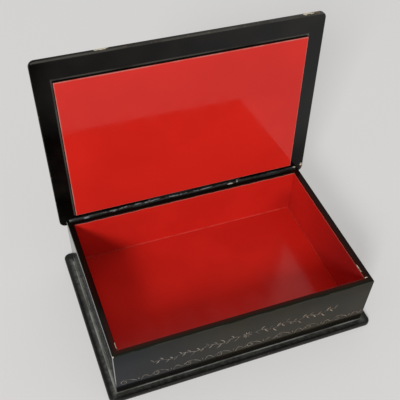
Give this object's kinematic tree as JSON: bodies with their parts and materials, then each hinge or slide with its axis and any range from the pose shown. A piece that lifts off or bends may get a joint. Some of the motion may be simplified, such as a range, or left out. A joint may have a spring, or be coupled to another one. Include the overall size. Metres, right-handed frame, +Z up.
{
  "type": "lidded keepsake box",
  "caption": "Shallow rectangular lacquered keepsake box with a hinged lid that opens past upright, a raised panel under the lid and a projecting base board.",
  "frame": {"origin": "middle of the walls' footprint on the base board's underside, where the box stands", "axes": "+Z up, -Y towards the front, +X along the box's length"},
  "size_m": [0.1924, 0.1343, 0.1679],
  "materials": {
    "base_lacquer": "pressed paper board under gloss black lacquer, worn at the edges",
    "wall_lacquer": "wound paper board, gloss black lacquer outside and gloss red inside",
    "floor_red": "pressed paper board under gloss red lacquer",
    "lid_lacquer": "pressed paper board under gloss black lacquer, chipped at the front edge",
    "panel_red": "pressed paper board under gloss red lacquer with black sides",
    "hinge_lacquered": "sheet brass under worn black lacquer",
    "pin_brass": "drawn brass wire"
  },
  "bodies": {
    "box": {"base_board": "base_lacquer", "floor_panel": "floor_red", "wall_shell": "wall_lacquer", "left_hinge_leaf": "hinge_lacquered", "right_hinge_leaf": "hinge_lacquered", "hinge_pin": "pin_brass"},
    "lid": {"lid_board": "lid_lacquer", "lid_panel": "panel_red", "middle_hinge_leaf": "hinge_lacquered"}
  },
  "joints": [
    {"name": "lid_hinge", "type": "hinge", "parent": "box", "child": "lid", "pos_m": [0, 0.05945, 0.0464], "axis": [1, 0, 0], "range_deg": [0, 93.5]}
  ]
}
